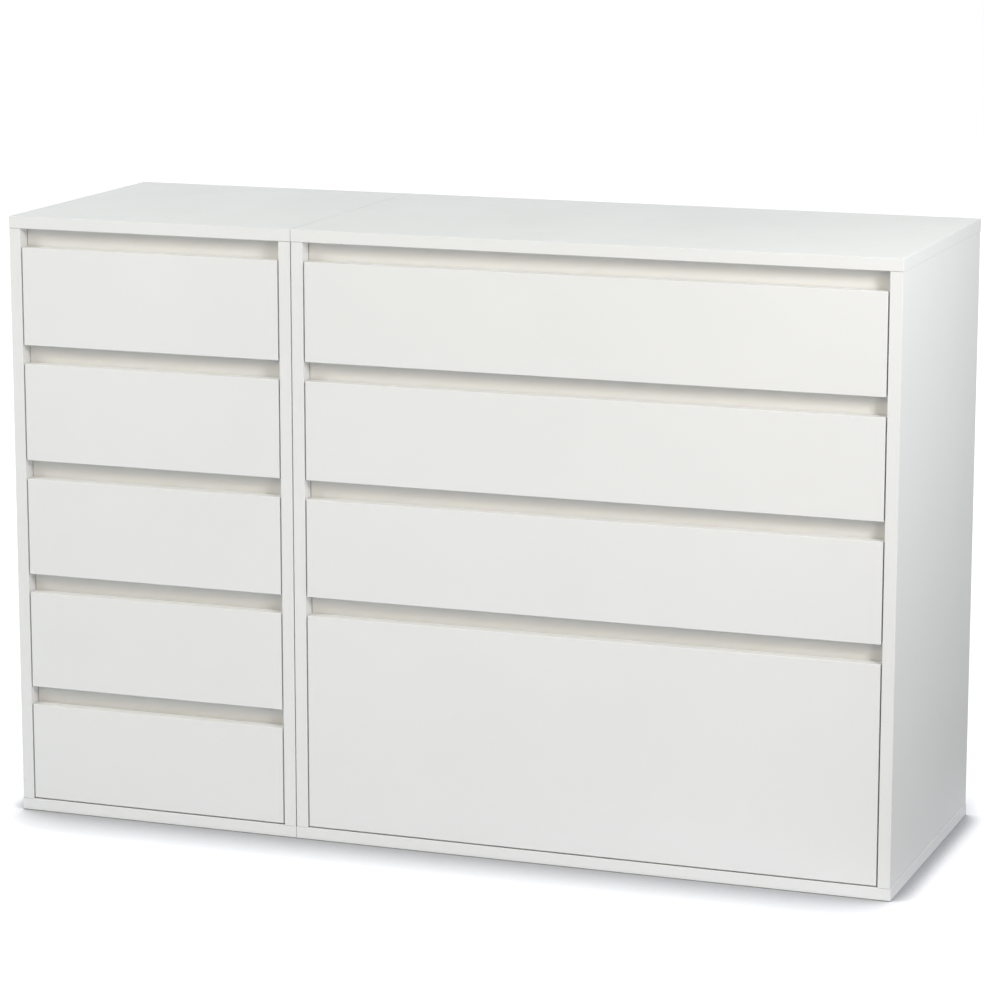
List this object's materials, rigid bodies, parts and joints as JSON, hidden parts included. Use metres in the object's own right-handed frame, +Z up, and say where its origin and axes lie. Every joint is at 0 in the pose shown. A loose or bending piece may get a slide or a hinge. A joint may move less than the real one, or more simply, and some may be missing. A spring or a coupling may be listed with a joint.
{
  "type": "scrapbook paper storage drawers",
  "caption": "Paired white craft cabinets, one narrow and one wide, with handleless slab drawers on telescopic slides and a finger gap above each front.",
  "frame": {"origin": "middle of the footprint of both cabinets together, on the floor", "axes": "+X to the right seen from the front, +Y from the fronts to the backs, +Z up"},
  "size_m": [1.2, 0.412, 0.804],
  "materials": {
    "white_melamine": "white melamine-faced board, satin",
    "white_hardboard": "white lacquered hardboard",
    "zinc_steel": "zinc-plated rolled steel",
    "nickel_steel": "nickel-plated steel"
  },
  "bodies": {
    "cabinet": {"narrow_top": "white_melamine", "narrow_base": "white_melamine", "narrow_side_left": "white_melamine", "narrow_side_right": "white_melamine", "narrow_back": "white_hardboard", "narrow_rails": "white_melamine", "wide_top": "white_melamine", "wide_base": "white_melamine", "wide_side_left": "white_melamine", "wide_side_right": "white_melamine", "wide_back": "white_hardboard", "wide_rails": "white_melamine", "outer_channels": "zinc_steel", "joining_bolts": "nickel_steel"},
    "narrow_drawer_1": {"narrow_drawer_1_front": "white_melamine", "narrow_drawer_1_box": "white_melamine", "narrow_drawer_1_bottom": "white_hardboard", "narrow_drawer_1_inner_channels": "zinc_steel"},
    "narrow_drawer_1_runners": {"narrow_drawer_1_middle_channels": "zinc_steel"},
    "narrow_drawer_2": {"narrow_drawer_2_front": "white_melamine", "narrow_drawer_2_box": "white_melamine", "narrow_drawer_2_bottom": "white_hardboard", "narrow_drawer_2_inner_channels": "zinc_steel"},
    "narrow_drawer_2_runners": {"narrow_drawer_2_middle_channels": "zinc_steel"},
    "narrow_drawer_3": {"narrow_drawer_3_front": "white_melamine", "narrow_drawer_3_box": "white_melamine", "narrow_drawer_3_bottom": "white_hardboard", "narrow_drawer_3_inner_channels": "zinc_steel"},
    "narrow_drawer_3_runners": {"narrow_drawer_3_middle_channels": "zinc_steel"},
    "narrow_drawer_4": {"narrow_drawer_4_front": "white_melamine", "narrow_drawer_4_box": "white_melamine", "narrow_drawer_4_bottom": "white_hardboard", "narrow_drawer_4_inner_channels": "zinc_steel"},
    "narrow_drawer_4_runners": {"narrow_drawer_4_middle_channels": "zinc_steel"},
    "narrow_drawer_5": {"narrow_drawer_5_front": "white_melamine", "narrow_drawer_5_box": "white_melamine", "narrow_drawer_5_bottom": "white_hardboard", "narrow_drawer_5_inner_channels": "zinc_steel"},
    "narrow_drawer_5_runners": {"narrow_drawer_5_middle_channels": "zinc_steel"},
    "wide_drawer_1": {"wide_drawer_1_front": "white_melamine", "wide_drawer_1_box": "white_melamine", "wide_drawer_1_bottom": "white_hardboard", "wide_drawer_1_inner_channels": "zinc_steel"},
    "wide_drawer_1_runners": {"wide_drawer_1_middle_channels": "zinc_steel"},
    "wide_drawer_2": {"wide_drawer_2_front": "white_melamine", "wide_drawer_2_box": "white_melamine", "wide_drawer_2_bottom": "white_hardboard", "wide_drawer_2_inner_channels": "zinc_steel"},
    "wide_drawer_2_runners": {"wide_drawer_2_middle_channels": "zinc_steel"},
    "wide_drawer_3": {"wide_drawer_3_front": "white_melamine", "wide_drawer_3_box": "white_melamine", "wide_drawer_3_bottom": "white_hardboard", "wide_drawer_3_inner_channels": "zinc_steel"},
    "wide_drawer_3_runners": {"wide_drawer_3_middle_channels": "zinc_steel"},
    "wide_drawer_4": {"wide_drawer_4_front": "white_melamine", "wide_drawer_4_box": "white_melamine", "wide_drawer_4_bottom": "white_hardboard", "wide_drawer_4_inner_channels": "zinc_steel"},
    "wide_drawer_4_runners": {"wide_drawer_4_middle_channels": "zinc_steel"}
  },
  "joints": [
    {"name": "narrow_drawer_1_slide", "type": "slide", "parent": "cabinet", "child": "narrow_drawer_1", "axis": [0, -1, 0], "range_m": [0, 0.348]},
    {"name": "narrow_drawer_1_runners_slide", "type": "slide", "parent": "cabinet", "child": "narrow_drawer_1_runners", "axis": [0, -1, 0], "range_m": [0, 0.1745]},
    {"name": "narrow_drawer_2_slide", "type": "slide", "parent": "cabinet", "child": "narrow_drawer_2", "axis": [0, -1, 0], "range_m": [0, 0.348]},
    {"name": "narrow_drawer_2_runners_slide", "type": "slide", "parent": "cabinet", "child": "narrow_drawer_2_runners", "axis": [0, -1, 0], "range_m": [0, 0.1745]},
    {"name": "narrow_drawer_3_slide", "type": "slide", "parent": "cabinet", "child": "narrow_drawer_3", "axis": [0, -1, 0], "range_m": [0, 0.348]},
    {"name": "narrow_drawer_3_runners_slide", "type": "slide", "parent": "cabinet", "child": "narrow_drawer_3_runners", "axis": [0, -1, 0], "range_m": [0, 0.1745]},
    {"name": "narrow_drawer_4_slide", "type": "slide", "parent": "cabinet", "child": "narrow_drawer_4", "axis": [0, -1, 0], "range_m": [0, 0.348]},
    {"name": "narrow_drawer_4_runners_slide", "type": "slide", "parent": "cabinet", "child": "narrow_drawer_4_runners", "axis": [0, -1, 0], "range_m": [0, 0.1745]},
    {"name": "narrow_drawer_5_slide", "type": "slide", "parent": "cabinet", "child": "narrow_drawer_5", "axis": [0, -1, 0], "range_m": [0, 0.348]},
    {"name": "narrow_drawer_5_runners_slide", "type": "slide", "parent": "cabinet", "child": "narrow_drawer_5_runners", "axis": [0, -1, 0], "range_m": [0, 0.1745]},
    {"name": "wide_drawer_1_slide", "type": "slide", "parent": "cabinet", "child": "wide_drawer_1", "axis": [0, -1, 0], "range_m": [0, 0.348]},
    {"name": "wide_drawer_1_runners_slide", "type": "slide", "parent": "cabinet", "child": "wide_drawer_1_runners", "axis": [0, -1, 0], "range_m": [0, 0.1745]},
    {"name": "wide_drawer_2_slide", "type": "slide", "parent": "cabinet", "child": "wide_drawer_2", "axis": [0, -1, 0], "range_m": [0, 0.348]},
    {"name": "wide_drawer_2_runners_slide", "type": "slide", "parent": "cabinet", "child": "wide_drawer_2_runners", "axis": [0, -1, 0], "range_m": [0, 0.1745]},
    {"name": "wide_drawer_3_slide", "type": "slide", "parent": "cabinet", "child": "wide_drawer_3", "axis": [0, -1, 0], "range_m": [0, 0.348]},
    {"name": "wide_drawer_3_runners_slide", "type": "slide", "parent": "cabinet", "child": "wide_drawer_3_runners", "axis": [0, -1, 0], "range_m": [0, 0.1745]},
    {"name": "wide_drawer_4_slide", "type": "slide", "parent": "cabinet", "child": "wide_drawer_4", "axis": [0, -1, 0], "range_m": [0, 0.348]},
    {"name": "wide_drawer_4_runners_slide", "type": "slide", "parent": "cabinet", "child": "wide_drawer_4_runners", "axis": [0, -1, 0], "range_m": [0, 0.1745]}
  ],
  "couplings": [
    {"joint": "narrow_drawer_1_runners_slide", "follows": "narrow_drawer_1_slide", "ratio": 0.5},
    {"joint": "narrow_drawer_2_runners_slide", "follows": "narrow_drawer_2_slide", "ratio": 0.5},
    {"joint": "narrow_drawer_3_runners_slide", "follows": "narrow_drawer_3_slide", "ratio": 0.5},
    {"joint": "narrow_drawer_4_runners_slide", "follows": "narrow_drawer_4_slide", "ratio": 0.5},
    {"joint": "narrow_drawer_5_runners_slide", "follows": "narrow_drawer_5_slide", "ratio": 0.5},
    {"joint": "wide_drawer_1_runners_slide", "follows": "wide_drawer_1_slide", "ratio": 0.5},
    {"joint": "wide_drawer_2_runners_slide", "follows": "wide_drawer_2_slide", "ratio": 0.5},
    {"joint": "wide_drawer_3_runners_slide", "follows": "wide_drawer_3_slide", "ratio": 0.5},
    {"joint": "wide_drawer_4_runners_slide", "follows": "wide_drawer_4_slide", "ratio": 0.5}
  ]
}
